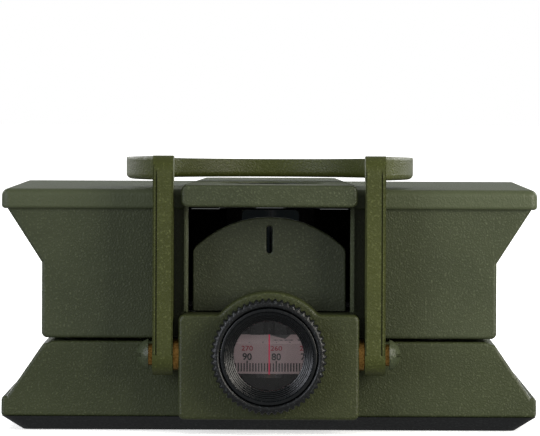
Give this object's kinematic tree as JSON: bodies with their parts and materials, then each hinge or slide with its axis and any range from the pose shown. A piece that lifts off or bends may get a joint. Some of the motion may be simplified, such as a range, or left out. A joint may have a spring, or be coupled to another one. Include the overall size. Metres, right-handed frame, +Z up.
{
  "type": "geology compass",
  "caption": "Pocket geology compass with a magnified card read through a focusing eyepiece, a hinged mirror lid with sights, a thumb loop, an azimuth ring, a level and a clinometer.",
  "frame": {"origin": "middle of the flat underside, on the axis of the compass card", "axes": "+X to the user's right along the hinge line, +Y from the eyepiece to the hinge, +Z up through the card's pivot"},
  "size_m": [0.078, 0.0825, 0.0402],
  "materials": {
    "olive_paint": "fine matt powder coat over die-cast alloy",
    "olive_paint_screw": "satin powder coat",
    "black_cover": "moulded, fine grain",
    "black_anodised": "black anodised, fine blasted",
    "black_ring": "black anodised, satin",
    "brass": "turned",
    "steel": "turned, satin",
    "clear_acrylic": "clear, polished",
    "window_glass": "clear, polished",
    "mirror_silver": "silvered",
    "card_white": "printed card, matt",
    "dial_plate": "printed, satin",
    "pendulum_black": "matt black",
    "magnet": "ground",
    "jewel": "polished",
    "red_line": "printed line",
    "seal_rubber": "matt"
  },
  "bodies": {
    "base": {"base_case": "olive_paint", "bottom_cover": "black_cover", "bottom_cover_screw_1": "steel", "bottom_cover_screw_2": "steel", "bottom_cover_screw_3": "steel", "bottom_cover_screw_4": "steel", "clinometer_window": "window_glass", "clinometer_dial": "dial_plate", "clinometer_pin": "brass", "capsule_cup": "clear_acrylic", "capsule_seal": "seal_rubber", "capsule_glass": "clear_acrylic", "lubber_line": "red_line", "card_pivot_pin": "brass", "capsule_retainer": "black_ring", "retainer_screw_1": "steel", "retainer_screw_2": "steel", "retainer_screw_3": "steel", "click_spring": "steel", "level_cup": "black_anodised", "level_vial": "window_glass", "hinge_pin": "steel", "hinge_washer_left": "steel", "hinge_washer_right": "steel"},
    "card": {"compass_card": "card_white", "card_jewel": "jewel", "card_magnet_left": "magnet", "card_magnet_right": "magnet"},
    "ring": {"azimuth_ring": "black_anodised"},
    "pendulum": {"clinometer_pendulum": "pendulum_black"},
    "lid": {"lid_case": "olive_paint", "top_window": "window_glass", "top_window_ring": "black_anodised", "lid_mirror": "mirror_silver", "mirror_clip_1": "steel", "mirror_clip_2": "steel", "mirror_clip_3": "steel", "mirror_clip_4": "steel", "front_sight_glass": "window_glass", "front_sight_frame": "black_anodised", "sight_wire": "steel", "front_block": "olive_paint", "block_screw_left": "steel", "block_screw_right": "steel", "leaf_pin": "steel", "focus_washer": "steel", "loop_bush_left": "brass", "loop_bush_right": "brass", "loop_screw_left": "olive_paint_screw", "loop_screw_right": "olive_paint_screw"},
    "leaf": {"sight_leaf": "olive_paint"},
    "focus": {"focus_ring": "black_anodised"},
    "eyepiece": {"lens_barrel": "black_anodised", "eyepiece_lens": "window_glass", "lens_retainer": "black_anodised"},
    "loop": {"thumb_loop": "olive_paint"}
  },
  "joints": [
    {"name": "lid_hinge", "type": "hinge", "parent": "base", "child": "lid", "pos_m": [0, 0.036, 0.018], "axis": [-1, 0, 0], "range_deg": [0, 180]},
    {"name": "loop_swing", "type": "hinge", "parent": "lid", "child": "loop", "pos_m": [0, -0.0372, 0.0114], "axis": [1, 0, 0], "range_deg": [0, 180]},
    {"name": "leaf_fold", "type": "hinge", "parent": "lid", "child": "leaf", "pos_m": [0, -0.0282, 0.0186], "axis": [-1, 0, 0], "range_deg": [0, 90]},
    {"name": "ring_turn", "type": "hinge", "parent": "base", "child": "ring", "pos_m": [0, 0, 0.0149], "axis": [0, 0, 1], "continuous": true},
    {"name": "card_spin", "type": "hinge", "parent": "base", "child": "card", "pos_m": [0, 0, 0.0106], "axis": [0, 0, 1], "continuous": true},
    {"name": "clinometer_swing", "type": "hinge", "parent": "base", "child": "pendulum", "pos_m": [0, 0, 0.0023], "axis": [0, 0, 1], "continuous": true},
    {"name": "focus_turn", "type": "hinge", "parent": "lid", "child": "focus", "pos_m": [0, -0.04, 0.0114], "axis": [0, 1, 0], "range_deg": [-90, 90]},
    {"name": "focus_slide", "type": "slide", "parent": "lid", "child": "eyepiece", "axis": [0, 1, 0], "range_m": [-0.0005, 0.0005]}
  ],
  "couplings": [
    {"joint": "focus_slide", "follows": "focus_turn", "m_per_rad": 0.000318}
  ]
}
